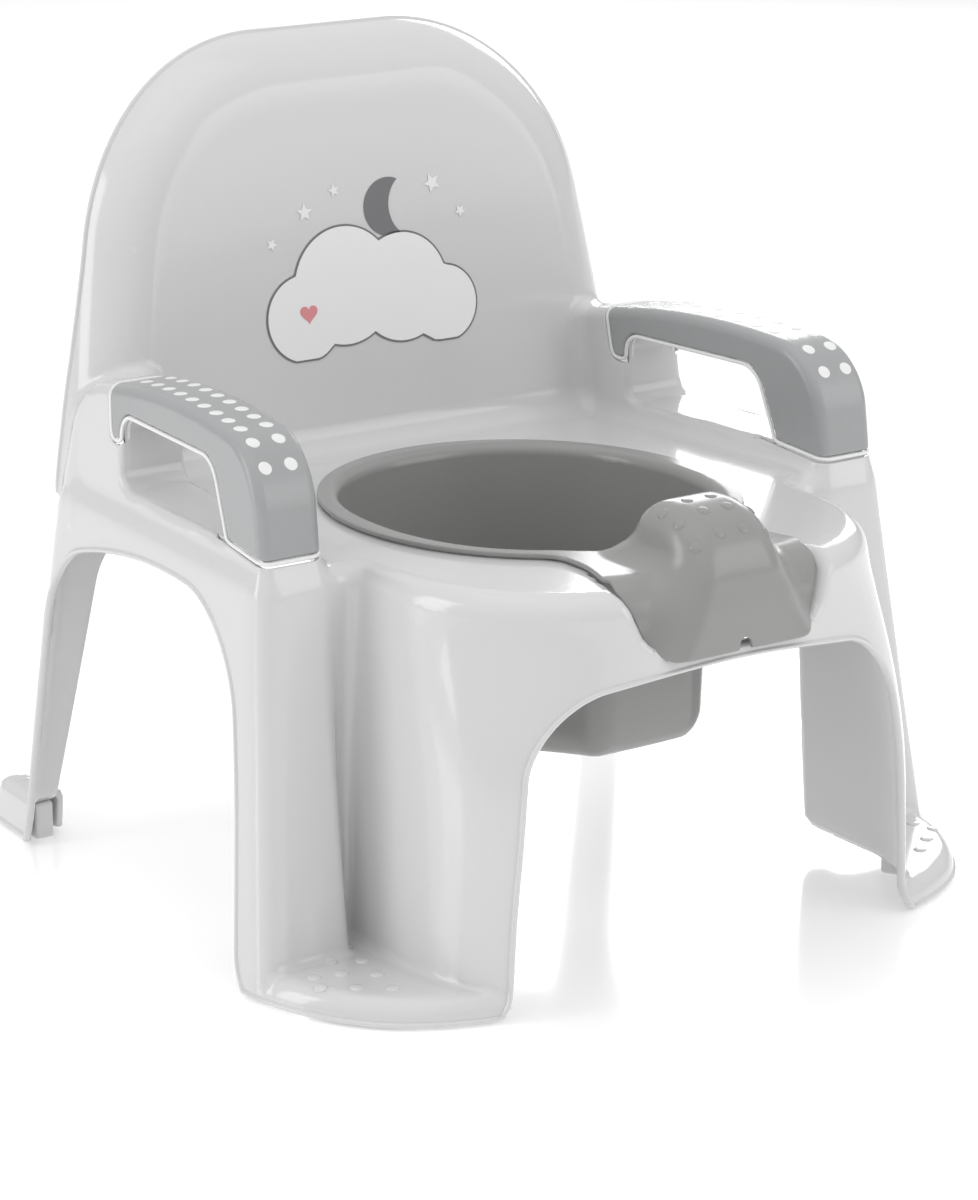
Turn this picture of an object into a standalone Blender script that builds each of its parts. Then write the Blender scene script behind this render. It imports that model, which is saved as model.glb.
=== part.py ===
"""Potty training chair: moulded chair shell, lift-out bowl with splash guard, padded arms, rubber feet, a sticker.

The shell is a free-form moulding whose faces all run into each other through fillets, so no primitive or loft
makes it. Its outer skin is written as a distance-like field (millimetres, negative inside), meshed on a grid and
cut by the outlines of its openings. Blender's Solidify then gives the skin its wall. The frame: +Z up, front at
-Y, X across.
"""

import math

import bmesh
import bpy
import numpy as np
from mathutils import Matrix

MM = 0.001
COLLECTION = "potty_chair"
CUTTERS = "potty_chair_cutters"

# Seat and legs
SEAT_Z = 168.0
SEAT_EDGE = 9.0
WALL = 2.6
FLOOR_GAP = 1.0
SIDE_FRONT_Y = -61.0
SIDE_REAR_Y = 127.0
SIDE_FRONT_HALF = 157.5
SIDE_DRAFT = 0.085
ARM_FOOT_Z = 174.0
POST_FRONT_Y = -62.0
POST_FLARE = 25.0
POST_CORNER = 11.0
VALLEY_X = 116.0
VALLEY_FILLET = 6.0

# Rounded front bulge round the bowl
BULGE_Y = -60.0
BULGE_HALF_DEPTH = 105.0
BULGE_HALF_TOP = 113.0
BULGE_DRAFT = 0.055

# Backrest
PANEL_Y = 91.0
PANEL_LEAN = 0.135
BACK_TOP_Z = 349.0
BACK_ARC = 97.0
BACK_ARC_X = 35.0
BACK_ARC_TILT = math.radians(10.5)
BACK_ROLL = 28.0
LIP_Y = 122.0
CROSSBAR_Z = 158.0

# Arms and their hand openings
ARM_TOP_Z = 224.0
ARM_INNER_HALF = 128.4
ARM_EDGE = 5.0
ARM_NOSE = 24.0
HAND_TOP_Z = 208.0
HAND_SILL_Z = 177.0
PAD_GAP = 0.4
COVER_INSET = 1.3
SEAT_MARGIN = 1.5
COVER_WALL = 2.2
CARRIER_DEPTH = 3.1
CARRIER_WALL = 1.5
CORE_DEPTH = 6.0

# Footrest steps, rear toes and rubber feet
STEP_Z = 12.0
STEP_EDGE = 9.0
STEP_NORMAL = (0.540, -0.842)
STEP_REACH = 193.0
TOE_Z = 20.0
TOE_REAR_Y = 169.5
TOE_INNER_X = 140.0

# Bowl
RIM_HALF = (87.7, 94.2)
BOWL_Y = -23.0
RIM_Z = 170.8
BOWL_WALL = 2.0
BOWL_BOTTOM_Z = 79.0
HOLE_INSET = 3.0
TONGUE_HALF = 50.5
NOTCH_HALF = 52.0
NOTCH_Z = 141.0
GUARD_Z = 195.0
GUARD_BOTTOM_Z = 139.6
GUARD_FRONT_Y = -168.0

FRONT_FOOT = (30.0, 14.0, 9.0)
FRONT_FOOT_AT = (142.0, -109.0)
FRONT_FOOT_TURN = math.radians(32.0)
REAR_FOOT = (9.0, 24.0, 16.9)
REAR_FOOT_AT = (151.0, 145.5)
REAR_FOOT_TURN = 0.0
FOOT_BEVEL = 1.5

# Sticker on the backrest
STICKER_HALF = (60.0, 48.0)
STICKER_Z = 254.0
STICKER_THICKNESS = 0.3
STICKER_GAP = 0.4
STICKER_LOBES = 9
STICKER_POINTS = 54

# Mesh sizes
SKIN_CELL = 7.0
SHELL_RATIO = 0.26
BOWL_CELL = 6.0
BOWL_RATIO = 0.3
PAD_CELL = 5.0
PAD_RATIO = 0.36
CORE_CELL = 4.0
CORE_RATIO = 0.18
SHORTEST_EDGE = 0.7


# ---------------------------------------------------------------- field helpers


def smoothstep(t):
    t = np.clip(t, 0.0, 1.0)
    return t * t * (3.0 - 2.0 * t)


def join(a, b, radius):
    """Union of two fields with a concave fillet."""
    near = np.hypot(np.maximum(radius - a, 0.0), np.maximum(radius - b, 0.0))
    return np.maximum(np.minimum(a, b), radius) - near


def trim(a, b, radius):
    """Intersection of two fields with a rounded edge."""
    near = np.hypot(np.maximum(a + radius, 0.0), np.maximum(b + radius, 0.0))
    return np.minimum(np.maximum(a, b), -radius) + near


def soft_min(a, b, width):
    blend = np.clip(0.5 + 0.5 * (b - a) / width, 0.0, 1.0)
    return b * (1.0 - blend) + a * blend - width * blend * (1.0 - blend)


def superellipse(x, y, half_x, half_y, power):
    """Distance-like field of a superellipse."""
    u = np.abs(x) / half_x
    v = np.abs(y) / half_y
    rho = np.maximum((u**power + v**power) ** (1.0 / power), 1e-6)
    slope = rho ** (1.0 - power) * np.hypot(u ** (power - 1.0) / half_x, v ** (power - 1.0) / half_y)
    return (rho - 1.0) / np.maximum(slope, 1e-6)


# ---------------------------------------------------------------- shell field


def back_half_width(z):
    """Half width of the backrest's straight flanks, which run on down as the rear legs."""
    tangent_x = BACK_ARC_X + BACK_ARC * math.cos(BACK_ARC_TILT)
    tangent_z = BACK_TOP_Z - BACK_ARC + BACK_ARC * math.sin(BACK_ARC_TILT)
    upper = tangent_x + math.tan(BACK_ARC_TILT) * (tangent_z - z)
    lower = 141.0 + 0.093 * (213.0 - z)
    return soft_min(upper, lower, 6.0)


def lip_y(z):
    """Rear edge of the backrest and of the rear legs."""
    return LIP_Y + 0.0526 * np.maximum(220.0 - z, 0.0) + 0.0013 * np.maximum(z - 230.0, 0.0) ** 2


def rear_wall_y(z):
    """Wall that closes the legs behind, a little in front of the backrest's edge."""
    return lip_y(z) - 2.5


def side_half_width(y, z):
    front = SIDE_FRONT_HALF + SIDE_DRAFT * np.maximum(ARM_FOOT_Z - z, 0.0)
    rear = back_half_width(z) + 1.2
    return front + (rear - front) * (y - SIDE_FRONT_Y) / (SIDE_REAR_Y - SIDE_FRONT_Y)


def plan_field(x, y, z):
    """Outline of seat and legs at each height: a drafted block with the bulge in front of it."""
    down = np.clip(1.0 - z / ARM_FOOT_Z, 0.0, 1.0)
    flare = np.clip((x - VALLEY_X) / (SIDE_FRONT_HALF - VALLEY_X + 17.0), -0.3, 1.2)
    front = POST_FRONT_Y - POST_FLARE * down * flare - y
    block = trim(x - side_half_width(y, z), front, POST_CORNER)
    power = 2.5 + 2.2 * smoothstep((SEAT_Z - z) / 110.0)
    half = BULGE_HALF_TOP + BULGE_DRAFT * (SEAT_Z - z)
    bulge = superellipse(x, y - BULGE_Y, half, BULGE_HALF_DEPTH, power)
    return join(block, bulge, VALLEY_FILLET)


def back_field(x, y, z):
    """Backrest: a leaning panel with rolled edges inside the arch outline."""
    arc_x = x - BACK_ARC_X
    arc_z = z - (BACK_TOP_Z - BACK_ARC)
    angle = np.arctan2(arc_z, np.maximum(arc_x, 1e-6))
    outline = np.where(angle > BACK_ARC_TILT, np.hypot(arc_x, arc_z) - BACK_ARC, x - back_half_width(z))
    outline = np.where((arc_x <= 0.0) & (arc_z > 0.0), z - BACK_TOP_Z, outline)
    panel = (PANEL_Y + PANEL_LEAN * (z - 175.0) - y) / math.hypot(1.0, PANEL_LEAN)
    return np.maximum(trim(panel, outline, BACK_ROLL), 160.0 - z)


def arm_sides(x, y, z):
    inner = ARM_INNER_HALF - 0.0925 * (y - SIDE_FRONT_Y)
    return trim(x - side_half_width(y, z), inner - x, 3.0)


def arm_field(x, y, z):
    """Arm ridge from the front post to the backrest, without its hand opening."""
    top = z - (ARM_TOP_Z - 0.0013 * (y - 10.0) ** 2)
    nose = SIDE_FRONT_Y - 0.5 + 0.14 * (z - ARM_FOOT_Z) - y
    rear = y - (118.0 - 0.12 * (z - 139.0))
    profile = trim(trim(top, nose, ARM_NOSE), rear, 15.0)
    return trim(profile, arm_sides(x, y, z), ARM_EDGE)


def hand_field(y, z):
    """Outline of the hand opening seen from the side, negative in the opening."""
    front = -32.0 + 0.42 * (z - HAND_SILL_Z) - y
    rear = y - 62.0 - 0.1 * (z - HAND_SILL_Z)
    low = trim(trim(front / 1.08, HAND_SILL_Z - z, 3.5), rear, 7.0)
    return trim(low, z - HAND_TOP_Z, 8.0)


def step_field(x, y, z):
    outer = x - side_half_width(y, z) - 1.5
    diagonal = STEP_NORMAL[0] * x + STEP_NORMAL[1] * y - STEP_REACH
    plan = np.maximum(trim(trim(outer, diagonal, 38.0), -157.5 - y, 16.0), y + 50.0)
    return trim(plan, z - STEP_Z, STEP_EDGE)


def toe_field(x, y, z):
    plan = trim(trim(x - side_half_width(y, z), TOE_INNER_X - x, 4.0), y - TOE_REAR_Y, 8.0)
    plan = np.maximum(plan, 118.0 - y)
    return trim(plan, z - TOE_Z, 4.0)


def shell_field(points):
    x, y, z = np.abs(points[:, 0]), points[:, 1], points[:, 2]
    body = trim(plan_field(x, y, z), y - rear_wall_y(z), 6.0)
    body = trim(body, z - SEAT_Z, SEAT_EDGE)
    whole = join(body, back_field(x, y, z), 12.0 - 10.0 * smoothstep((y - 100.0) / 15.0))
    whole = join(whole, arm_field(x, y, z), 8.0)
    whole = trim(whole, -hand_field(y, z), 3.0)
    whole = join(whole, step_field(x, y, z), 3.0)
    return join(whole, toe_field(x, y, z), 3.0)


# ------------------------------------------------ openings, negative where the skin is cut away


def below_floor(points):
    return points[:, 2] - FLOOR_GAP


def side_arch(points):
    """Arch through each side wall, flared where it reaches the floor."""
    x, y, z = np.abs(points[:, 0]), points[:, 1], points[:, 2]
    top = z - (153.0 - 0.0018 * (y - 15.0) ** 2)
    foot = 16.0 - np.sqrt(np.maximum(256.0 - np.clip(16.0 - z, 0.0, 16.0) ** 2, 0.0))
    front = -64.0 + 0.11 * z + 0.0009 * np.maximum(z - 60.0, 0.0) ** 2 - y - foot
    rear = y - (127.0 - 0.075 * z) - foot * 0.5
    arch = trim(trim(top, rear, 24.0), front, 34.0)
    return np.maximum(arch, 128.0 - x)


def front_arch(points):
    """Arch through the front of the bulge, below the bowl."""
    x, y, z = np.abs(points[:, 0]), points[:, 1], points[:, 2]
    foot = 14.0 - np.sqrt(np.maximum(196.0 - np.clip(14.0 - z, 0.0, 14.0) ** 2, 0.0))
    side = x - (101.0 - 0.05 * z - 0.0007 * np.maximum(z - 30.0, 0.0) ** 2) - foot
    arch = trim(side, z - (134.5 - 0.0013 * x**2), 26.0)
    return np.maximum(arch, y + 85.0)


def rear_arch(points):
    """Arch through the rear wall between the legs."""
    x, y, z = np.abs(points[:, 0]), points[:, 1], points[:, 2]
    side = (x - (149.5 - 0.1875 * z)) / 1.02
    arch = trim(side, z - 147.0, 28.0)
    return np.maximum(arch, np.abs(y - rear_wall_y(z)) - 7.0)


def back_open(points):
    """The hollow backrest is open behind its rolled edge."""
    y, z = points[:, 1], points[:, 2]
    return np.maximum(lip_y(z) + 0.5 - y, CROSSBAR_Z - z)


def bowl_hole(points):
    """Hole for the bowl and the notch in front of it for the bowl's tongue."""
    x, y, z = points[:, 0], points[:, 1], points[:, 2]
    hole = superellipse(x, y - BOWL_Y, RIM_HALF[0] - HOLE_INSET, RIM_HALF[1] - HOLE_INSET, 2.0)
    hole = np.maximum(hole, 155.0 - z)
    half = NOTCH_HALF + 5.0 * smoothstep((z - SEAT_Z + 9.0) / 9.0) * smoothstep((-136.0 - y) / 16.0)
    notch = trim(np.abs(x) - half, NOTCH_Z - z, 10.0)
    notch = np.maximum(notch, y - BOWL_Y)
    return np.minimum(hole, notch)


def pad_profile(y, z):
    """Side outline of the arm pad, negative where the pad is."""
    rear = y - 78.0 + 0.22 * (218.0 - z)
    low = np.where(y < 20.0, ARM_FOOT_Z + 0.103 * (y - SIDE_FRONT_Y), 196.0) - z
    return trim(rear, low, 3.0)


def pad_seat(points):
    """Where the arm pad takes the skin's place. The ceiling of the hand opening stays."""
    x, y, z = np.abs(points[:, 0]), points[:, 1], points[:, 2]
    ceiling = np.maximum(hand_field(y, z) - 1.5, arm_sides(x, y, z) + 5.0)
    return np.maximum(np.maximum(pad_profile(y, z) - SEAT_MARGIN, -ceiling), 100.0 - x)


# ---------------------------------------------------------------- bowl field


def bowl_inside(x, y, z):
    """Inner outline of the bowl at each height: an oval with a box-like channel in front."""
    up = (z - BOWL_BOTTOM_Z) / (RIM_Z - BOWL_BOTTOM_Z)
    oval = superellipse(x, y - BOWL_Y, 66.0 + 10.6 * up, 72.0 + 10.6 * up, 2.2)
    channel = trim(np.abs(x) - 27.0 - 0.35 * (y + 108.0), -108.0 - 1.5 * up - y, 9.0)
    return join(oval, np.maximum(channel, y - BOWL_Y), 14.0)


def guard_height(x, y):
    """Height of the tongue and splash guard over the rim's level."""
    across = smoothstep((46.0 - np.abs(x)) / 24.0)
    rear = smoothstep((-106.0 - y) / 24.0)
    return (GUARD_Z - RIM_Z) * across * rear


def bowl_field(points):
    """Visible skin of the bowl: inside of the bowl, rim, and the guard that rolls over the seat's front."""
    x, y, z = points[:, 0], points[:, 1], points[:, 2]
    across = smoothstep((48.0 - np.abs(x)) / 22.0)
    front = (GUARD_FRONT_Y + 5.5) - 5.5 * across - 0.08 * (160.0 - z) - y
    top = z - RIM_Z - guard_height(x, y)
    slab = trim(top / 1.15, front, 10.0 + 16.0 * across)
    inside = bowl_inside(x, y, z)
    cavity = trim(inside, (BOWL_BOTTOM_Z + BOWL_WALL) - z, 12.0)
    return trim(slab, -cavity, 4.2)


def bowl_outline(points):
    """Rim, tongue and guard outline: positive where the bowl's skin is kept."""
    x, y, z = points[:, 0], points[:, 1], points[:, 2]
    rim = superellipse(x, y - BOWL_Y, RIM_HALF[0], RIM_HALF[1], 2.0)
    half = TONGUE_HALF - 12.5 * smoothstep((158.0 - z) / 18.0)
    tongue = np.maximum(np.abs(x) - half, y - BOWL_Y)
    return -join(rim, tongue, 6.0)


def guard_bottom(points):
    return points[:, 2] - np.where(points[:, 1] < -125.0, GUARD_BOTTOM_Z, -1e3)


# ---------------------------------------------------------------- meshing


def gradient(field, points, step=0.05):
    parts = []
    for axis in range(3):
        offset = np.zeros(3)
        offset[axis] = step
        parts.append((field(points + offset) - field(points - offset)) / (2.0 * step))
    return np.stack(parts, axis=1)


def settle(field, points, rounds=4):
    """Newton steps that bring points onto the field's zero surface."""
    for _ in range(rounds):
        slope = gradient(field, points)
        value = field(points)
        points = points - slope * (value / np.maximum((slope**2).sum(axis=1), 0.05))[:, None]
    return points


def settle_edge(field, cut, points, reach):
    """Brings points onto the curve where both fields are zero. It says which ones got there within reach."""
    start = points
    for _ in range(10):
        points = settle(cut, points, 1)
        points = settle(field, points, 1)
    found = np.linalg.norm(points - start, axis=1) < reach
    found &= (np.abs(field(points)) < 0.1) & (np.abs(cut(points)) < 0.1)
    return points, found


def skin_mesh(field, low, high, cell):
    """Surface net of the field's zero level: one point per crossed cell, one quad per crossed grid edge."""
    low = np.asarray(low, float)
    counts = np.ceil((np.asarray(high, float) - low) / cell).astype(int) + 1
    axes = [low[axis] + cell * np.arange(counts[axis]) for axis in range(3)]
    grid = np.stack(np.meshgrid(*axes, indexing="ij"), axis=-1)
    values = field(grid.reshape(-1, 3)).reshape(counts)
    inside = values < 0.0
    total = np.zeros(tuple(counts - 1) + (3,))
    hits = np.zeros(tuple(counts - 1))
    for axis in range(3):
        first = [slice(None)] * 3
        second = [slice(None)] * 3
        first[axis] = slice(0, -1)
        second[axis] = slice(1, None)
        a, b = values[tuple(first)], values[tuple(second)]
        crossed = (a < 0.0) != (b < 0.0)
        share = np.where(crossed, a / np.where(crossed, a - b, 1.0), 0.0)
        place = grid[tuple(first)] + share[..., None] * (grid[tuple(second)] - grid[tuple(first)])
        others = [other for other in range(3) if other != axis]
        for du in (0, 1):
            for dv in (0, 1):
                window = [slice(None)] * 3
                window[others[0]] = slice(du, counts[others[0]] - 1 + du)
                window[others[1]] = slice(dv, counts[others[1]] - 1 + dv)
                total += np.where(crossed, 1.0, 0.0)[tuple(window)][..., None] * place[tuple(window)]
                hits += crossed[tuple(window)]
    used = hits > 0
    index = -np.ones(used.shape, int)
    index[used] = np.arange(used.sum())
    points = total[used] / hits[used][:, None]
    quads = []
    for axis in range(3):
        u, v = (axis + 1) % 3, (axis + 2) % 3
        first = [slice(None)] * 3
        second = [slice(None)] * 3
        first[axis] = slice(0, -1)
        second[axis] = slice(1, None)
        a, b = inside[tuple(first)], inside[tuple(second)]
        place = np.argwhere(a != b)
        place = place[(place[:, u] > 0) & (place[:, v] > 0)]
        place = place[(place[:, u] < counts[u] - 1) & (place[:, v] < counts[v] - 1)]
        leaving = a[tuple(place.T)]
        corner = []
        for du, dv in ((1, 1), (0, 1), (0, 0), (1, 0)):
            cell_at = place.copy()
            cell_at[:, u] -= du
            cell_at[:, v] -= dv
            corner.append(index[tuple(cell_at.T)])
        quad = np.stack(corner, axis=1)
        quad[~leaving] = quad[~leaving][:, ::-1]
        quads.append(quad)
    return settle(field, points), np.concatenate(quads)


def relax(field, points, faces, rounds=3):
    """Evens out the net by moving each point to the middle of its faces and back onto the surface."""
    for _ in range(rounds):
        middle = points[faces].mean(axis=1)
        total = np.zeros_like(points)
        count = np.zeros(len(points))
        for corner in range(faces.shape[1]):
            np.add.at(total, faces[:, corner], middle)
            np.add.at(count, faces[:, corner], 1.0)
        points = points + 0.6 * (total / count[:, None] - points)
        points = settle(field, points, 2)
    return points


def triangles(points, quads):
    """Splits each quad along its shorter diagonal."""
    first = np.linalg.norm(points[quads[:, 0]] - points[quads[:, 2]], axis=1)
    second = np.linalg.norm(points[quads[:, 1]] - points[quads[:, 3]], axis=1)
    straight = quads[first <= second]
    crossed = quads[first > second]
    return np.concatenate(
        [straight[:, [0, 1, 2]], straight[:, [0, 2, 3]], crossed[:, [0, 1, 3]], crossed[:, [1, 2, 3]]]
    )


def cut_skin(field, cut, points, faces, cell):
    """Removes the skin where the cut is negative, with new points along the line between."""
    value = cut(points)
    ends = np.concatenate([faces[:, [0, 1]], faces[:, [1, 2]], faces[:, [2, 0]]])
    ends = ends[value[ends[:, 0]] * value[ends[:, 1]] < 0.0]
    near = np.zeros(len(points), bool)
    near[ends] = True
    near &= np.abs(value) < 0.3 * cell
    moved, fits = settle_edge(field, cut, points[near], 0.6 * cell)
    close = np.flatnonzero(near)[fits]
    points = points.copy()
    points[close] = moved[fits]
    value[close] = 0.0
    sign = np.sign(value)
    flat = (sign[faces] == 0).all(axis=1)
    kept = (sign[faces] > 0).any(axis=1)
    kept[flat] = cut(points[faces[flat]].mean(axis=1)) > 0.0
    faces = faces[kept]
    crossing = (sign[faces] < 0).any(axis=1)
    whole = faces[~crossing]
    split = faces[crossing]
    edges = np.concatenate([split[:, [0, 1]], split[:, [1, 2]], split[:, [2, 0]]])
    edges = np.unique(np.sort(edges, axis=1), axis=0)
    edges = edges[sign[edges[:, 0]] * sign[edges[:, 1]] < 0]
    share = value[edges[:, 0]] / (value[edges[:, 0]] - value[edges[:, 1]])
    fresh = points[edges[:, 0]] + share[:, None] * (points[edges[:, 1]] - points[edges[:, 0]])
    moved, fits = settle_edge(field, cut, fresh, 0.5 * cell)
    fresh[fits] = moved[fits]
    number = {tuple(edge): len(points) + i for i, edge in enumerate(edges)}
    points = np.concatenate([points, fresh])
    cut_faces = []
    for face in faces[crossing]:
        ring = []
        for here, there in zip(face, np.roll(face, -1)):
            if sign[here] >= 0:
                ring.append(here)
            if sign[here] * sign[there] < 0:
                ring.append(number[tuple(sorted((here, there)))])
        for i in range(1, len(ring) - 1):
            cut_faces.append((ring[0], ring[i], ring[i + 1]))
    faces = np.concatenate([whole, np.array(cut_faces, int).reshape(-1, 3)])
    return drop_unused(points, faces)


def drop_unused(points, faces):
    used = np.zeros(len(points), bool)
    used[faces] = True
    number = np.cumsum(used) - 1
    return points[used], number[faces]


def moulded_skin(field, low, high, cell, cuts):
    points, quads = skin_mesh(field, low, high, cell)
    points = relax(field, points, quads)
    faces = triangles(points, quads)
    for cut in cuts:
        points, faces = cut_skin(field, cut, points, faces, cell)
    return points, faces


# ---------------------------------------------------------------- Blender objects


def clear_scene():
    for obj in list(bpy.data.objects):
        bpy.data.objects.remove(obj, do_unlink=True)


def collection(name):
    made = bpy.data.collections.new(name)
    bpy.context.scene.collection.children.link(made)
    return made


def plastic(name, color, roughness):
    material = bpy.data.materials.new(name)
    material.use_nodes = True
    shader = material.node_tree.nodes["Principled BSDF"]
    shader.inputs["Base Color"].default_value = (*color, 1.0)
    shader.inputs["Roughness"].default_value = roughness
    shader.inputs["Metallic"].default_value = 0.0
    return material


def mesh_object(name, points, faces, material, home):
    """Object with this mesh, after merging away edges too short for the wall's thickness."""
    mesh = bpy.data.meshes.new(name)
    mesh.from_pydata((points * MM).tolist(), [], faces.tolist())
    edited = bmesh.new()
    edited.from_mesh(mesh)
    bmesh.ops.dissolve_degenerate(edited, dist=SHORTEST_EDGE * MM, edges=edited.edges)
    bmesh.ops.triangulate(edited, faces=edited.faces)
    edited.to_mesh(mesh)
    edited.free()
    mesh.materials.append(material)
    mesh.shade_smooth()
    obj = bpy.data.objects.new(name, mesh)
    home.objects.link(obj)
    return obj


def add_fewer_faces(obj, ratio):
    """Merges faces away from the skin's open edges, which keep all their points."""
    faces = np.array([face.vertices[:] for face in obj.data.polygons])
    ends = np.sort(np.concatenate([faces[:, [0, 1]], faces[:, [1, 2]], faces[:, [2, 0]]]), axis=1)
    edges, count = np.unique(ends, axis=0, return_counts=True)
    border = np.unique(edges[count == 1])
    inner = np.setdiff1d(np.arange(len(obj.data.vertices)), border)
    group = obj.vertex_groups.new(name="inner")
    group.add(inner.tolist(), 1.0, "REPLACE")
    modifier = obj.modifiers.new("fewer_faces", "DECIMATE")
    modifier.ratio = ratio
    modifier.vertex_group = group.name


def add_wall(obj, thickness):
    modifier = obj.modifiers.new("wall", "SOLIDIFY")
    modifier.thickness = thickness * MM
    modifier.offset = -1.0


def add_union(obj, other):
    """Union by the Manifold solver, because on these skins the Exact one returns the other object alone."""
    modifier = obj.modifiers.new(other.name, "BOOLEAN")
    modifier.operation = "UNION"
    modifier.solver = "MANIFOLD"
    modifier.object = other


def helper(obj):
    obj.hide_render = True
    obj.display_type = "WIRE"


# ---------------------------------------------------------------- parts


def core_field(points):
    """Solid bar inside each arm that carries the pad. It widens into the walls beyond the pad's ends."""
    x, y, z = np.abs(points[:, 0]), points[:, 1], points[:, 2]
    beyond = smoothstep((pad_profile(y, z) - 1.5) / 5.0)
    bar = arm_field(x, y, z) + CORE_DEPTH - (CORE_DEPTH - 1.2) * beyond
    bar = trim(bar, 0.8 - hand_field(y, z), 1.0)
    over_sill = np.maximum(z - 192.0, np.abs(y - 14.0) - 50.0)
    ends = np.maximum(y - 84.0, 171.0 - z)
    return np.maximum(np.maximum(bar, -over_sill), ends)


def build_shell(home, guides, material):
    cuts = [below_floor, side_arch, front_arch, rear_arch, back_open, bowl_hole, pad_seat]
    points, faces = moulded_skin(shell_field, (-196, -188, -12), (196, 190, 372), SKIN_CELL, cuts)
    shell = mesh_object("chair_shell", points, faces, material, home)
    add_fewer_faces(shell, SHELL_RATIO)
    add_wall(shell, WALL)
    for side, name in ((1, "core_right"), (-1, "core_left")):
        low, high = sorted((side * 100.0, side * 180.0))
        points, quads = skin_mesh(core_field, (low, -75, 160), (high, 100, 240), CORE_CELL)
        core = mesh_object(name, points, triangles(points, quads), material, guides)
        add_fewer_faces(core, CORE_RATIO)
        helper(core)
        add_union(shell, core)
    return shell


def build_bowl(home, material):
    low = (-100, -182, BOWL_BOTTOM_Z - 12)
    points, faces = moulded_skin(bowl_field, low, (100, 84, 214), BOWL_CELL, [bowl_outline, guard_bottom])
    bowl = mesh_object("potty_bowl", points, faces, material, home)
    add_fewer_faces(bowl, BOWL_RATIO)
    add_wall(bowl, BOWL_WALL)
    return bowl


def pad_cut(inset):
    """Outline of a pad piece, this much inside the pad's seat."""

    def outline(points):
        x, y, z = np.abs(points[:, 0]), points[:, 1], points[:, 2]
        inside = trim(pad_profile(y, z) + inset, inset - hand_field(y, z), 2.0)
        return -np.maximum(inside, 100.0 - x)

    return outline


def build_pad_piece(name, side, depth, thickness, inset, home, material):
    def surface(points):
        return arm_field(np.abs(points[:, 0]), points[:, 1], points[:, 2]) + depth

    low, high = sorted((side * 100.0, side * 180.0))
    points, faces = moulded_skin(surface, (low, -80, 160), (high, 120, 240), PAD_CELL, [pad_cut(inset)])
    piece = mesh_object(name, points, faces, material, home)
    add_fewer_faces(piece, PAD_RATIO)
    add_wall(piece, thickness)
    return piece


def build_foot(name, place, size, turn, home, material):
    """Rubber block with rounded edges that stands on the floor."""
    bpy.ops.mesh.primitive_cube_add(size=1.0)
    foot = bpy.context.object
    foot.name = name
    foot.data.name = name
    foot.data.transform(Matrix.Diagonal((size[0] * MM, size[1] * MM, size[2] * MM, 1.0)))
    foot.location = (place[0] * MM, place[1] * MM, size[2] * MM / 2.0)
    foot.rotation_euler = (0.0, 0.0, turn)
    foot.data.materials.append(material)
    rounding = foot.modifiers.new("rounding", "BEVEL")
    rounding.width = FOOT_BEVEL * MM
    rounding.segments = 2
    for other in list(foot.users_collection):
        other.objects.unlink(foot)
    home.objects.link(foot)
    return foot


def build_sticker(name, home, material):
    """Flat scalloped sticker, parallel to the leaning panel."""
    curve = bpy.data.curves.new(name, "CURVE")
    curve.dimensions = "2D"
    curve.fill_mode = "BOTH"
    curve.extrude = STICKER_THICKNESS / 2.0 * MM
    spline = curve.splines.new("POLY")
    spline.points.add(STICKER_POINTS - 1)
    spline.use_cyclic_u = True
    for i, point in enumerate(spline.points):
        angle = math.tau * i / STICKER_POINTS
        reach = 0.94 + 0.06 * abs(math.cos(STICKER_LOBES * angle / 2.0))
        across = STICKER_HALF[0] * reach * math.cos(angle)
        up = STICKER_HALF[1] * reach * math.sin(angle)
        point.co = (across * MM, up * MM, 0.0, 1.0)
    curve.materials.append(material)
    sticker = bpy.data.objects.new(name, curve)
    lean = math.atan(PANEL_LEAN)
    front = PANEL_Y + PANEL_LEAN * (STICKER_Z - 175.0)
    away = STICKER_GAP + STICKER_THICKNESS / 2.0
    sticker.location = (0.0, (front - away * math.cos(lean)) * MM, (STICKER_Z + away * math.sin(lean)) * MM)
    sticker.rotation_euler = (math.pi / 2.0 - lean, 0.0, 0.0)
    home.objects.link(sticker)
    return sticker


def main():
    clear_scene()
    home = collection(COLLECTION)
    guides = collection(CUTTERS)
    guides.hide_render = True
    build_shell(home, guides, plastic("shell_grey", (0.72, 0.72, 0.72), 0.22))
    build_bowl(home, plastic("bowl_grey", (0.30, 0.30, 0.30), 0.35))
    grey = plastic("pad_grey", (0.26, 0.28, 0.28), 0.45)
    white = plastic("carrier_white", (0.86, 0.86, 0.86), 0.3)
    rubber = plastic("foot_rubber", (0.20, 0.20, 0.20), 0.8)
    for side, word in ((-1, "left"), (1, "right")):
        build_pad_piece(f"{word}_arm_pad_cover", side, 0.0, COVER_WALL, PAD_GAP + COVER_INSET, home, grey)
        build_pad_piece(f"{word}_arm_pad_carrier", side, CARRIER_DEPTH, CARRIER_WALL, PAD_GAP, home, white)
        front = (side * FRONT_FOOT_AT[0], FRONT_FOOT_AT[1])
        rear = (side * REAR_FOOT_AT[0], REAR_FOOT_AT[1])
        build_foot(f"{word}_front_foot", front, FRONT_FOOT, side * FRONT_FOOT_TURN, home, rubber)
        build_foot(f"{word}_rear_foot", rear, REAR_FOOT, side * REAR_FOOT_TURN, home, rubber)
    build_sticker("back_sticker", home, plastic("sticker_film", (0.90, 0.90, 0.88), 0.4))


main()
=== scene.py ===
"""Looks of the potty training chair: moulded shell, lift-out bowl, arm grips, print, light and camera.

Every visible piece repeats the shape functions of the CAD part (millimetres, negative inside the
material) and meshes them finely, with rounded rims, grip nubs and the small raised details. Each piece
rides on the CAD body that it belongs to. The frame: metres, +Z up, the chair faces -Y.
"""

import math

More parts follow.
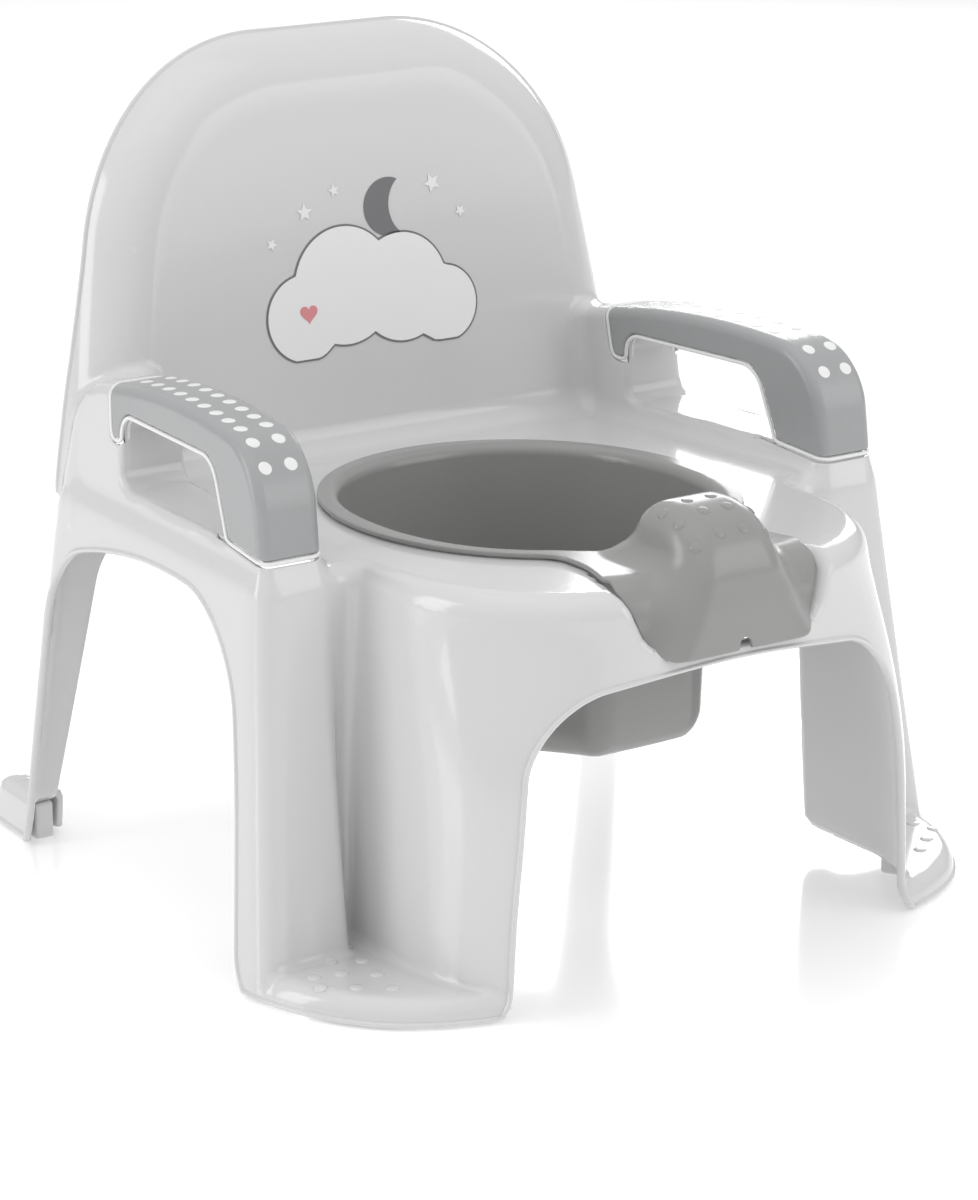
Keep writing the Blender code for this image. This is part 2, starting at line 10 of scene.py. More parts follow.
import bpy
import numpy as np
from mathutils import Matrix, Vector


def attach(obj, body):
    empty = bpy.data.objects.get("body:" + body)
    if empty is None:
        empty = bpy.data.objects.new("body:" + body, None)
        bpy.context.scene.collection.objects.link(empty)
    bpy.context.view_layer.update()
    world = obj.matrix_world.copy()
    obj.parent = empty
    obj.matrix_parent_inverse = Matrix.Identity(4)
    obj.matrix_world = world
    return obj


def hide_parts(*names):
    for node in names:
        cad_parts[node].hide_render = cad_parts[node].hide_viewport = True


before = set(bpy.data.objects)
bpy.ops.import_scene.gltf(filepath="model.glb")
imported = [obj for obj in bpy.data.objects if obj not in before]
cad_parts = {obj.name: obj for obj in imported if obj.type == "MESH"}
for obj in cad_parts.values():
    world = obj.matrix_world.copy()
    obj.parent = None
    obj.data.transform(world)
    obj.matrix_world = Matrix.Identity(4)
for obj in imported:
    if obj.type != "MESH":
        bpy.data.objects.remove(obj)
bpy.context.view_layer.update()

MM = 0.001

# Seat and legs
SEAT_Z = 168.0
SEAT_EDGE = 9.0
WALL = 2.6
FLOOR_GAP = 1.0
SIDE_FRONT_Y = -61.0
SIDE_REAR_Y = 127.0
SIDE_FRONT_HALF = 157.5
SIDE_DRAFT = 0.085
SIDE_PROUD = 1.2
ARM_FOOT_Z = 174.0
POST_FRONT_Y = -62.0
POST_FLARE = 25.0
POST_CORNER = 11.0
VALLEY_X = 116.0
VALLEY_FILLET = 6.0

# Rounded front bulge round the bowl
BULGE_Y = -60.0
BULGE_HALF_DEPTH = 105.0
BULGE_HALF_TOP = 113.0
BULGE_DRAFT = 0.055

# Backrest
PANEL_Y = 91.0
PANEL_LEAN = 0.135
BACK_TOP_Z = 349.0
BACK_ARC = 97.0
BACK_ARC_X = 35.0
BACK_ARC_TILT = math.radians(10.5)
BACK_ROLL = 28.0
LIP_Y = 122.0

# Arms and their hand openings
ARM_TOP_Z = 224.0
ARM_INNER_HALF = 128.4
ARM_EDGE = 5.0
ARM_NOSE = 24.0
HAND_TOP_Z = 208.0
HAND_SILL_Z = 177.0
SEAT_MARGIN = 1.5
CARRIER_DEPTH = 3.1
CARRIER_WALL = 1.5

# Footrest steps, rear toes and rubber feet
STEP_Z = 12.0
STEP_EDGE = 9.0
STEP_NORMAL = (0.540, -0.842)
STEP_REACH = 193.0
TOE_Z = 20.0
TOE_REAR_Y = 169.5
TOE_INNER_X = 140.0

# Bowl
RIM_HALF = (87.7, 94.2)
BOWL_Y = -23.0
RIM_Z = 170.8
BOWL_WALL = 2.0
BOWL_BOTTOM_Z = 79.0
HOLE_INSET = 3.0
NOTCH_ROLL = 5.0
NOTCH_DEPTH = 5.0
NOTCH_Z = 141.0
GUARD_BOTTOM_Z = 139.6

# Mesh sizes of the visible surfaces
SHELL_CELL = 3.0
BOWL_CELL = 2.0
GRIP_CELL = 1.1
CARRIER_CELL = 2.0
EDGE_LINE_CELL = 1.6

# Raised bead along the shell's free edges
BEAD_REACH = 3.0
BEAD_PROUD = 0.9

# Rounding of the plain edges
PLAIN_REACH = 0.8

# Print on the backrest
PRINT_Z = 236.0

# Light and dark tone of each material
SHELL_TONES = ((0.70, 0.70, 0.70), (0.67, 0.67, 0.67))
BOWL_TONES = ((0.315, 0.312, 0.308), (0.285, 0.283, 0.28))
GRIP_TONES = ((0.385, 0.393, 0.398), (0.355, 0.363, 0.368))
WHITE_TONES = ((0.90, 0.90, 0.90), (0.87, 0.87, 0.87))
# The feet take the shell's tone, set a little lighter than the shell: painted light that lifts the shade
# where the legs stand on the floor.
FOOT_TONES = ((0.76, 0.76, 0.76), (0.72, 0.72, 0.72))
PRINT_WHITES = ((0.93, 0.93, 0.93), (0.90, 0.90, 0.90))
PRINT_GREYS = ((0.20, 0.20, 0.21), (0.17, 0.17, 0.18))
PRINT_PINKS = ((0.80, 0.30, 0.32), (0.76, 0.27, 0.29))

# Light: name, place, size and power
SKY_LOW = 0.36
SKY_HIGH = 0.95
FLOOR_GLOW = 0.3
FLOOR_HALF = 12.0
LIGHTS = [
    ("top_softbox", (-0.3, -0.2, 2.2), (1.8, 1.8), 3.0),
    ("left_softbox", (-2.2, 0.6, 0.9), (0.8, 1.6), 11.0),
    ("front_softbox", (1.3, -1.9, 1.0), (1.6, 1.4), 9.0),
    ("back_softbox", (1.75, 1.7, 0.9), (1.3, 0.8), 12.0),
]

# Nubs: radius and height
STEP_NUB = (3.1, 0.9)
STEP_NUB_START = (128.5, -76.0)
STEP_NUB_ROW = (14.4, -7.0)
STEP_NUB_COLUMN = (3.1, -15.6)
TOE_NUB = (2.4, 0.7)
TOE_NUB_X = 147.0
TOE_NUB_YS = (150.0, 159.0)
GUARD_NUB = (2.7, 0.8)
DOT = (3.1, 0.5)
DOT_ROWS = 11
DOT_OFFSET = 6.0

# Arm grips
GRIP_INSET = 0.9
GRIP_THICKNESS = 2.4
GRIP_EDGE = 1.3
GRIP_RIM = 0.85

# Splash guard
HUMP_Z = 194.5
HUMP_FRONT_Y = -168.0
HUMP_ROLL = 27.0
FLANGE_DEPTH = 4.4
FLANGE_ROLL = 16.0
FLANGE_GAP = 0.5

# Camera, at the fitted place of the view
CAMERA_AT = (-0.9434, -1.3200, 0.6071)
CAMERA_AZIMUTH = math.radians(-34.643)
CAMERA_ELEVATION = math.radians(16.776)
CAMERA_LENS = 118.03
CAMERA_SHIFT_X = 0.043


# ---------------------------------------------------------------- field helpers


def smoothstep(t):
    t = np.clip(t, 0.0, 1.0)
    return t * t * (3.0 - 2.0 * t)


def join(a, b, radius):
    """Union of two fields with a concave fillet."""
    near = np.hypot(np.maximum(radius - a, 0.0), np.maximum(radius - b, 0.0))
    return np.maximum(np.minimum(a, b), radius) - near


def trim(a, b, radius):
    """Intersection of two fields with a rounded edge."""
    near = np.hypot(np.maximum(a + radius, 0.0), np.maximum(b + radius, 0.0))
    return np.minimum(np.maximum(a, b), -radius) + near


def soft_min(a, b, width):
    blend = np.clip(0.5 + 0.5 * (b - a) / width, 0.0, 1.0)
    return b * (1.0 - blend) + a * blend - width * blend * (1.0 - blend)


def superellipse(x, y, half_x, half_y, power):
    """Distance-like field of a superellipse."""
    u = np.abs(x) / half_x
    v = np.abs(y) / half_y
    rho = np.maximum((u**power + v**power) ** (1.0 / power), 1e-6)
    slope = rho ** (1.0 - power) * np.hypot(u ** (power - 1.0) / half_x, v ** (power - 1.0) / half_y)
    return (rho - 1.0) / np.maximum(slope, 1e-6)


# ---------------------------------------------------------------- shell field


def back_half_width(z):
    """Half width of the backrest's straight flanks, which run on down as the rear legs."""
    tangent_x = BACK_ARC_X + BACK_ARC * math.cos(BACK_ARC_TILT)
    tangent_z = BACK_TOP_Z - BACK_ARC + BACK_ARC * math.sin(BACK_ARC_TILT)
    upper = tangent_x + math.tan(BACK_ARC_TILT) * (tangent_z - z)
    lower = 141.0 + 0.093 * (213.0 - z)
    return soft_min(upper, lower, 6.0)


def lip_y(z):
    """Rear edge of the backrest and of the rear legs."""
    return LIP_Y + 0.0526 * np.maximum(220.0 - z, 0.0) + 0.0013 * np.maximum(z - 230.0, 0.0) ** 2


def rear_wall_y(z):
    """Wall that closes the legs behind, a little in front of the backrest's edge."""
    return lip_y(z) - 2.5


def side_half_width(y, z):
    """Half width of the side wall, which stands slightly proud as far back as its step line."""
    front = SIDE_FRONT_HALF + SIDE_DRAFT * np.maximum(ARM_FOOT_Z - z, 0.0)
    rear = back_half_width(z) + SIDE_PROUD
    step_line = 114.0 + 0.11 * np.maximum(177.0 - z, 0.0) - 0.0078 * np.maximum(z - 177.0, 0.0) ** 2
    wall = front + (rear - front) * (y - SIDE_FRONT_Y) / (SIDE_REAR_Y - SIDE_FRONT_Y)
    return wall - SIDE_PROUD * smoothstep((y - step_line) / 2.5)


def plan_field(x, y, z):
    """Outline of seat and legs at each height: a drafted block with the bulge in front of it."""
    down = np.clip(1.0 - z / ARM_FOOT_Z, 0.0, 1.0)
    flare = np.clip((x - VALLEY_X) / (SIDE_FRONT_HALF - VALLEY_X + 17.0), -0.3, 1.2)
    front = POST_FRONT_Y - POST_FLARE * down * flare - y
    block = trim(x - side_half_width(y, z), front, POST_CORNER)
    power = 2.5 + 2.2 * smoothstep((SEAT_Z - z) / 110.0)
    half = BULGE_HALF_TOP + BULGE_DRAFT * (SEAT_Z - z)
    bulge = superellipse(x, y - BULGE_Y, half, BULGE_HALF_DEPTH, power)
    return join(block, bulge, VALLEY_FILLET)


def back_field(x, y, z):
    """Backrest: a leaning panel with rolled edges inside the arch outline."""
    arc_x = x - BACK_ARC_X
    arc_z = z - (BACK_TOP_Z - BACK_ARC)
    angle = np.arctan2(arc_z, np.maximum(arc_x, 1e-6))
    outline = np.where(angle > BACK_ARC_TILT, np.hypot(arc_x, arc_z) - BACK_ARC, x - back_half_width(z))
    outline = np.where((arc_x <= 0.0) & (arc_z > 0.0), z - BACK_TOP_Z, outline)
    panel = (PANEL_Y + PANEL_LEAN * (z - 175.0) - y) / math.hypot(1.0, PANEL_LEAN)
    return np.maximum(trim(panel, outline, BACK_ROLL), 160.0 - z)


def arm_sides(x, y, z):
    inner = ARM_INNER_HALF - 0.0925 * (y - SIDE_FRONT_Y)
    return trim(x - side_half_width(y, z), inner - x, 3.0)


def arm_field(x, y, z):
    """Arm ridge from the front post to the backrest, without its hand opening."""
    top = z - (ARM_TOP_Z - 0.0013 * (y - 10.0) ** 2)
    nose = SIDE_FRONT_Y - 0.5 + 0.14 * (z - ARM_FOOT_Z) - y
    rear = y - (118.0 - 0.12 * (z - 139.0))
    profile = trim(trim(top, nose, ARM_NOSE), rear, 15.0)
    return trim(profile, arm_sides(x, y, z), ARM_EDGE)


def hand_field(y, z):
    """Outline of the hand opening seen from the side, negative in the opening."""
    front = -32.0 + 0.42 * (z - HAND_SILL_Z) - y
    rear = y - 62.0 - 0.1 * (z - HAND_SILL_Z)
    low = trim(trim(front / 1.08, HAND_SILL_Z - z, 3.5), rear, 7.0)
    return trim(low, z - HAND_TOP_Z, 8.0)


def step_field(x, y, z):
    outer = x - side_half_width(y, z) - 1.5
    diagonal = STEP_NORMAL[0] * x + STEP_NORMAL[1] * y - STEP_REACH
    plan = np.maximum(trim(trim(outer, diagonal, 38.0), -157.5 - y, 16.0), y + 50.0)
    return trim(plan, z - STEP_Z, STEP_EDGE)


def toe_field(x, y, z):
    plan = trim(trim(x - side_half_width(y, z), TOE_INNER_X - x, 4.0), y - TOE_REAR_Y, 8.0)
    plan = np.maximum(plan, 118.0 - y)
    return trim(plan, z - TOE_Z, 4.0)


def body_field(x, y, z):
    """Seat and legs as one block, before anything is cut into it."""
    body = trim(plan_field(x, y, z), y - rear_wall_y(z), 6.0)
    return trim(body, z - SEAT_Z, SEAT_EDGE)


def shell_field(points):
    x, y, z = np.abs(points[:, 0]), points[:, 1], points[:, 2]
    body = body_field(x, y, z)
    rolled = smoothstep((-136.0 - y) / 16.0) * smoothstep((z - 142.0) / 8.0)
    body = trim(body, -notch_field(x, y, z), 0.6 + (NOTCH_ROLL - 0.6) * rolled)
    whole = join(body, back_field(x, y, z), 12.0 - 10.0 * smoothstep((y - 100.0) / 15.0))
    whole = join(whole, arm_field(x, y, z), 8.0)
    whole = trim(whole, -hand_field(y, z), 3.0)
    whole = join(whole, step_field(x, y, z), 3.0)
    return join(whole, toe_field(x, y, z), 3.0)


# ------------------------------------------------ openings, negative where the skin is cut away


def below_floor(points):
    return points[:, 2] - FLOOR_GAP


def side_arch(points):
    """Arch through each side wall, flared where it reaches the floor."""
    x, y, z = np.abs(points[:, 0]), points[:, 1], points[:, 2]
    top = z - (153.0 - 0.0018 * (y - 15.0) ** 2)
    foot = 16.0 - np.sqrt(np.maximum(256.0 - np.clip(16.0 - z, 0.0, 16.0) ** 2, 0.0))
    front = -64.0 + 0.11 * z + 0.0009 * np.maximum(z - 60.0, 0.0) ** 2 - y - foot
    rear = y - (127.0 - 0.075 * z) - foot * 0.5
    arch = trim(trim(top, rear, 24.0), front, 34.0)
    return np.maximum(arch, 128.0 - x)


def front_arch(points):
    """Arch through the front of the bulge, below the bowl."""
    x, y, z = np.abs(points[:, 0]), points[:, 1], points[:, 2]
    foot = 14.0 - np.sqrt(np.maximum(196.0 - np.clip(14.0 - z, 0.0, 14.0) ** 2, 0.0))
    side = x - (101.0 - 0.05 * z - 0.0007 * np.maximum(z - 30.0, 0.0) ** 2) - foot
    arch = trim(side, z - (134.5 - 0.0013 * x**2), 26.0)
    return np.maximum(arch, y + 85.0)


def rear_arch(points):
    """Arch through the rear wall between the legs."""
    x, y, z = np.abs(points[:, 0]), points[:, 1], points[:, 2]
    side = (x - (149.5 - 0.1875 * z)) / 1.02
    arch = trim(side, z - 147.0, 28.0)
    return np.maximum(arch, np.abs(y - rear_wall_y(z)) - 7.0)


def back_open(points):
    """The hollow backrest is open behind its rolled edge."""
    y, z = points[:, 1], points[:, 2]
    return np.maximum(lip_y(z) + 0.5 - y, 158.0 - z)


def notch_half_width(y, z):
    """Half width of the notch in the front wall, wider in front and narrower below."""
    return 43.0 + 7.5 * smoothstep((-118.0 - y) / 36.0) - 0.4 * np.maximum(167.0 - z, 0.0)


def notch_field(x, y, z):
    notch = trim(x - notch_half_width(y, z), NOTCH_Z - z, 10.0)
    return np.maximum(notch, y - BOWL_Y)


def bowl_hole(points):
    """Hole for the bowl and the notch in front of it for the bowl's tongue."""
    x, y, z = np.abs(points[:, 0]), points[:, 1], points[:, 2]
    hole = superellipse(x, y - BOWL_Y, RIM_HALF[0] - HOLE_INSET, RIM_HALF[1] - HOLE_INSET, 2.0)
    hole = np.maximum(hole, 155.0 - z)
    deep = np.maximum(body_field(x, y, z) + NOTCH_DEPTH, notch_field(x, y, z) - 4.0)
    return np.minimum(hole, deep)


def pad_profile(y, z):
    """Side outline of the arm pad, negative where the pad is."""
    rear = y - 78.0 + 0.22 * (218.0 - z)
    low = np.where(y < 20.0, ARM_FOOT_Z + 0.103 * (y - SIDE_FRONT_Y), 196.0) - z
    return trim(rear, low, 3.0)


def pad_seat(points):
    """Where the arm pad takes the skin's place. The ceiling of the hand opening stays."""
    x, y, z = np.abs(points[:, 0]), points[:, 1], points[:, 2]
    ceiling = np.maximum(hand_field(y, z) - 1.5, arm_sides(x, y, z) + 2.0)
    outside = np.maximum(100.0 - x, -90.0 - y)
    return np.maximum(np.maximum(pad_profile(y, z) - SEAT_MARGIN, -ceiling), outside)


# ---------------------------------------------------------------- bowl field


def bowl_inside(x, y, z):
    """Inner outline of the bowl at each height: an oval with a box-like channel in front."""
    up = (z - BOWL_BOTTOM_Z) / (RIM_Z - BOWL_BOTTOM_Z)
    oval = superellipse(x, y - BOWL_Y, 66.0 + 10.6 * up, 72.0 + 10.6 * up, 2.2)
    channel = trim(np.abs(x) - 27.0 - 0.35 * (y + 108.0), -108.0 - 1.5 * up - y, 9.0)
    return join(oval, np.maximum(channel, y - BOWL_Y), 14.0)


def guard_field(x, y, z):
    """Splash guard: a hump that rises behind the bowl's front edge and rolls down over the flange."""
    top = z - HUMP_Z
    front = HUMP_FRONT_Y - 0.08 * (160.0 - z) - y
    rear = (y + 112.0 + 0.5 * (z - RIM_Z)) / 1.12
    side = np.abs(x) - 22.0 - 0.006 * (HUMP_Z - z) ** 2
    hump = trim(trim(trim(top, front, HUMP_ROLL), rear, 9.0), side, 13.0)
    flange = trim(z - RIM_Z, plan_field(np.abs(x), y, z) + FLANGE_DEPTH, FLANGE_ROLL)
    return join(flange, hump, 10.0)


def bowl_field(points):
    """Visible skin of the bowl: inside of the bowl, rim, flange and splash guard."""
    x, y, z = points[:, 0], points[:, 1], points[:, 2]
    cavity = trim(bowl_inside(x, y, z), (BOWL_BOTTOM_Z + BOWL_WALL) - z, 12.0)
    return trim(guard_field(x, y, z), -cavity, 4.2)


def bowl_outline(points):
    """Outline of rim, flange and guard, negative inside."""
    x, y, z = points[:, 0], points[:, 1], points[:, 2]
    rim = superellipse(x, y - BOWL_Y, RIM_HALF[0], RIM_HALF[1], 2.0)
    overlap = FLANGE_GAP - 2.5 * smoothstep((z - RIM_Z + 0.9) / 0.8)
    flange = np.maximum(np.abs(x) - notch_half_width(y, z) + overlap, y - BOWL_Y)
    return join(rim, flange, 6.0)


def bowl_cut(points):
    """Free edge of the bowl and guard, with a small arch below. Positive where the skin is kept."""
    x, y, z = np.abs(points[:, 0]), points[:, 1], points[:, 2]
    bottom = np.where(y < -125.0, GUARD_BOTTOM_Z, -1e3) - z
    arch = np.maximum(trim(x - 2.8, z - GUARD_BOTTOM_Z - 5.0, 2.6), y + 150.0)
    return np.minimum(-trim(bowl_outline(points), bottom, 7.0), arch)


def pad_cut(inset):
    """Outline of a grip piece, this much inside the grip's seat. Positive where the piece is kept."""

    def outline(points):
        x, y, z = np.abs(points[:, 0]), points[:, 1], points[:, 2]
        inside = trim(pad_profile(y, z) + inset, inset - hand_field(y, z), 2.0)
        return -np.maximum(inside, 100.0 - x)

    return outline


# ---------------------------------------------------------------- meshing


def gradient(field, points, step=0.05):
    parts = []
    for axis in range(3):
        offset = np.zeros(3)
        offset[axis] = step
        parts.append((field(points + offset) - field(points - offset)) / (2.0 * step))
    return np.stack(parts, axis=1)


def settle(field, points, rounds=4):
    """Newton steps that bring points onto the field's zero surface."""
    for _ in range(rounds):
        slope = gradient(field, points)
        value = field(points)
        points = points - slope * (value / np.maximum((slope**2).sum(axis=1), 0.05))[:, None]
    return points


def settle_edge(field, cut, points, reach):
    """Brings points onto the curve where both fields are zero, and says which ones got there."""
    start = points
    for _ in range(10):
        points = settle(cut, points, 1)
        points = settle(field, points, 1)
    found = np.linalg.norm(points - start, axis=1) < reach
    found &= (np.abs(field(points)) < 0.1) & (np.abs(cut(points)) < 0.1)
    return points, found


def skin_mesh(field, low, high, cell):
    """Surface net of the field's zero level: one point per crossed cell, one quad per crossed grid edge."""
    low = np.asarray(low, float)
    counts = np.ceil((np.asarray(high, float) - low) / cell).astype(int) + 1
    axes = [low[axis] + cell * np.arange(counts[axis]) for axis in range(3)]
    grid = np.stack(np.meshgrid(*axes, indexing="ij"), axis=-1)
    values = field(grid.reshape(-1, 3)).reshape(counts)
    inside = values < 0.0
    total = np.zeros(tuple(counts - 1) + (3,))
    hits = np.zeros(tuple(counts - 1))
    for axis in range(3):
        first = [slice(None)] * 3
        second = [slice(None)] * 3
        first[axis] = slice(0, -1)
        second[axis] = slice(1, None)
        a, b = values[tuple(first)], values[tuple(second)]
        crossed = (a < 0.0) != (b < 0.0)
        share = np.where(crossed, a / np.where(crossed, a - b, 1.0), 0.0)
        place = grid[tuple(first)] + share[..., None] * (grid[tuple(second)] - grid[tuple(first)])
        others = [other for other in range(3) if other != axis]
        for du in (0, 1):
            for dv in (0, 1):
                window = [slice(None)] * 3
                window[others[0]] = slice(du, counts[others[0]] - 1 + du)
                window[others[1]] = slice(dv, counts[others[1]] - 1 + dv)
                total += np.where(crossed, 1.0, 0.0)[tuple(window)][..., None] * place[tuple(window)]
                hits += crossed[tuple(window)]
    used = hits > 0
    index = -np.ones(used.shape, int)
    index[used] = np.arange(used.sum())
    points = total[used] / hits[used][:, None]
    quads = []
    for axis in range(3):
        u, v = (axis + 1) % 3, (axis + 2) % 3
        first = [slice(None)] * 3
        second = [slice(None)] * 3
        first[axis] = slice(0, -1)
        second[axis] = slice(1, None)
        a, b = inside[tuple(first)], inside[tuple(second)]
        place = np.argwhere(a != b)
        place = place[(place[:, u] > 0) & (place[:, v] > 0)]
        place = place[(place[:, u] < counts[u] - 1) & (place[:, v] < counts[v] - 1)]
        leaving = a[tuple(place.T)]
        corner = []
        for du, dv in ((1, 1), (0, 1), (0, 0), (1, 0)):
            cell_at = place.copy()
            cell_at[:, u] -= du
            cell_at[:, v] -= dv
            corner.append(index[tuple(cell_at.T)])
        quad = np.stack(corner, axis=1)
        quad[~leaving] = quad[~leaving][:, ::-1]
        quads.append(quad)
    return settle(field, points), np.concatenate(quads)


def relax(field, points, faces, rounds=3):
    """Evens out the net by moving each point to the middle of its faces and back onto the surface."""
    for _ in range(rounds):
        middle = points[faces].mean(axis=1)
        total = np.zeros_like(points)
        count = np.zeros(len(points))
        for corner in range(faces.shape[1]):
            np.add.at(total, faces[:, corner], middle)
            np.add.at(count, faces[:, corner], 1.0)
        points = points + 0.6 * (total / count[:, None] - points)
        points = settle(field, points, 2)
    return points


def triangles(points, quads):
    """Splits each quad along its shorter diagonal."""
    first = np.linalg.norm(points[quads[:, 0]] - points[quads[:, 2]], axis=1)
    second = np.linalg.norm(points[quads[:, 1]] - points[quads[:, 3]], axis=1)
    straight = quads[first <= second]
    crossed = quads[first > second]
    return np.concatenate(
        [straight[:, [0, 1, 2]], straight[:, [0, 2, 3]], crossed[:, [0, 1, 3]], crossed[:, [1, 2, 3]]]
    )


def cut_skin(field, cut, points, faces, cell):
    """Removes the skin where the cut is negative, with new points along the line between."""
    value = cut(points)
    ends = np.concatenate([faces[:, [0, 1]], faces[:, [1, 2]], faces[:, [2, 0]]])
    ends = ends[value[ends[:, 0]] * value[ends[:, 1]] < 0.0]
    near = np.zeros(len(points), bool)
    near[ends] = True
    near &= np.abs(value) < 0.3 * cell
    moved, fits = settle_edge(field, cut, points[near], 0.6 * cell)
    close = np.flatnonzero(near)[fits]
    points = points.copy()
    points[close] = moved[fits]
    value[close] = 0.0
    sign = np.sign(value)
    flat = (sign[faces] == 0).all(axis=1)
    kept = (sign[faces] > 0).any(axis=1)
    kept[flat] = cut(points[faces[flat]].mean(axis=1)) > 0.0
    faces = faces[kept]
    crossing = (sign[faces] < 0).any(axis=1)
    whole = faces[~crossing]
    split = faces[crossing]
    edges = np.concatenate([split[:, [0, 1]], split[:, [1, 2]], split[:, [2, 0]]])
    edges = np.unique(np.sort(edges, axis=1), axis=0)
    edges = edges[sign[edges[:, 0]] * sign[edges[:, 1]] < 0]
    share = value[edges[:, 0]] / (value[edges[:, 0]] - value[edges[:, 1]])
    fresh = points[edges[:, 0]] + share[:, None] * (points[edges[:, 1]] - points[edges[:, 0]])
    moved, fits = settle_edge(field, cut, fresh, 0.5 * cell)
    fresh[fits] = moved[fits]
    number = {tuple(edge): len(points) + i for i, edge in enumerate(edges)}
    points = np.concatenate([points, fresh])
    cut_faces = []
    for face in faces[crossing]:
        ring = []
        for here, there in zip(face, np.roll(face, -1)):
            if sign[here] >= 0:
                ring.append(here)
            if sign[here] * sign[there] < 0:
                ring.append(number[tuple(sorted((here, there)))])
        for i in range(1, len(ring) - 1):
            cut_faces.append((ring[0], ring[i], ring[i + 1]))
    faces = np.concatenate([whole, np.array(cut_faces, int).reshape(-1, 3)])
    return drop_unused(points, faces)


def drop_unused(points, faces):
    used = np.zeros(len(points), bool)
    used[faces] = True
    number = np.cumsum(used) - 1
    return points[used], number[faces]


def moulded_skin(field, low, high, cell, cuts):
    points, quads = skin_mesh(field, low, high, cell)
    points = relax(field, points, quads)
    faces = triangles(points, quads)
    for cut in cuts:
        points, faces = cut_skin(field, cut, points, faces, cell)
    return weld_border(points, faces, 0.15 * cell)


# ---------------------------------------------------------------- walls, rims and nubs


def unit(vectors):
    return vectors / np.maximum(np.linalg.norm(vectors, axis=-1, keepdims=True), 1e-9)


def moved(cut, distance):
    """The same cut, widened by this distance."""
    return lambda points: cut(points) - distance


def border_loops(faces):
    """Closed runs of border points, in the direction in which their faces turn."""
    ends = np.concatenate([faces[:, [0, 1]], faces[:, [1, 2]], faces[:, [2, 0]]])
    known = set(map(tuple, ends.tolist()))
    follow = {start: end for start, end in known if (end, start) not in known}
    loops = []
    while follow:
        start = min(follow)
        loop = [start]
        here = follow.pop(start)
        while here != start and here in follow:
            loop.append(here)
            here = follow.pop(here)
        if here == start and len(loop) > 5:
            loops.append(np.array(loop))
    return loops


def weld_border(points, faces, least):
    """Joins neighbouring border points that are closer than this, or where the border folds back."""
    home = np.arange(len(points))
    for loop in border_loops(faces):
        path = points[loop]
        step = np.roll(path, -1, axis=0) - path
        around = np.roll(path, -2, axis=0) - np.roll(path, 1, axis=0)
        short = np.linalg.norm(step, axis=1) < least
        folded = (step * around).sum(axis=1) < 0.0
        for k in np.flatnonzero(short | folded):
            home[loop[(k + 1) % len(loop)]] = home[loop[k]]
    faces = home[home][faces]
    whole = (faces != np.roll(faces, 1, axis=1)).all(axis=1)
    return drop_unused(points, faces[whole])


def smooth_along(values, rounds):
    for _ in range(rounds):
        values = 0.5 * values + 0.25 * (np.roll(values, 1, axis=0) + np.roll(values, -1, axis=0))
    return values


def loop_frame(points, normals, loop, rounds=4):
    """Directions along a border: up from the skin, and away from the skin's edge."""
    path = smooth_along(points[loop], 2)
    along = unit(smooth_along(np.roll(path, -1, axis=0) - np.roll(path, 1, axis=0), rounds))
    up = unit(smooth_along(normals[loop], 8))
    away = unit(np.cross(along, up))
    return up, away


class Mesh:
    """Collects points with one normal each, and the faces between them, for one object."""

    def __init__(self):
        self.points = []
        self.normals = []
        self.faces = []
        self.slots = []
        self.count = 0

    def add(self, points, normals, face_sets, slot=0):
        for faces in face_sets:
            self.faces.extend((np.asarray(faces) + self.count).tolist())
            self.slots.extend([slot] * len(faces))
        self.points.append(points)
        self.normals.append(normals)
        self.count += len(points)

    def build(self, name, materials, body, slot_name, *replaced):
        mesh = bpy.data.meshes.new(name)
        mesh.from_pydata((np.concatenate(self.points) * MM).tolist(), [], self.faces)
        for material in materials:
            mesh.materials.append(material)
        mesh.polygons.foreach_set("material_index", self.slots)
        mesh.shade_smooth()
        mesh.normals_split_custom_set_from_vertices(np.concatenate(self.normals).tolist())
        obj = bpy.data.objects.new(name, mesh)
        bpy.context.scene.collection.objects.link(obj)
        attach(obj, body)
        if replaced:
            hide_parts(*replaced)
        return obj


def profile_normals(profile):
    """Outward directions of a rim profile whose points are (away, up), starting on the outer skin."""
    line = np.array(profile)
    step = np.gradient(line, axis=0)
    out = unit(np.stack([-step[:, 1], step[:, 0]], axis=1))
    out[0] = (0.0, 1.0)
    out[-1] = (0.0, -1.0)
    return out


def add_walled(mesh, field, points, faces, thickness, rim_of, slot=0):
    """Outer skin, inner skin and a rim round each opening, with the profile that rim_of gives."""
    normals = unit(gradient(field, points, 0.2))
    all_points = [points, points - normals * thickness]
    all_normals = [normals, -normals]
    count = len(points)
    total = 2 * count
    quads = []
    for loop in border_loops(faces):
        profile = rim_of(points[loop])
        out = profile_normals(profile)
        up, away = loop_frame(points, normals, loop)
        rings = [loop]
        for (reach, rise), (along_away, along_up) in zip(profile[1:-1], out[1:-1]):
            all_points.append(points[loop] + away * reach + up * rise)
            all_normals.append(away * along_away + up * along_up)
            rings.append(total + np.arange(len(loop)))
            total += len(loop)
        rings.append(loop + count)
        for ring, after in zip(rings, rings[1:]):
            quads.append(np.stack([np.roll(ring, -1), ring, after, np.roll(after, -1)], axis=1))
    inner = faces[:, ::-1] + count
    mesh.add(np.concatenate(all_points), unit(np.concatenate(all_normals)), [faces, inner, *quads], slot)


def plain_rim(thickness, reach=PLAIN_REACH):
    """Edge of a wall with two small rounded corners."""
    return [
        (0.0, 0.0),
        (0.6 * reach, -0.1 * reach),
        (0.93 * reach, -0.45 * reach),
        (reach, -reach),
        (reach, reach - thickness),
        (0.93 * reach, 0.45 * reach - thickness),
        (0.6 * reach, 0.1 * reach - thickness),
        (0.0, -thickness),
    ]


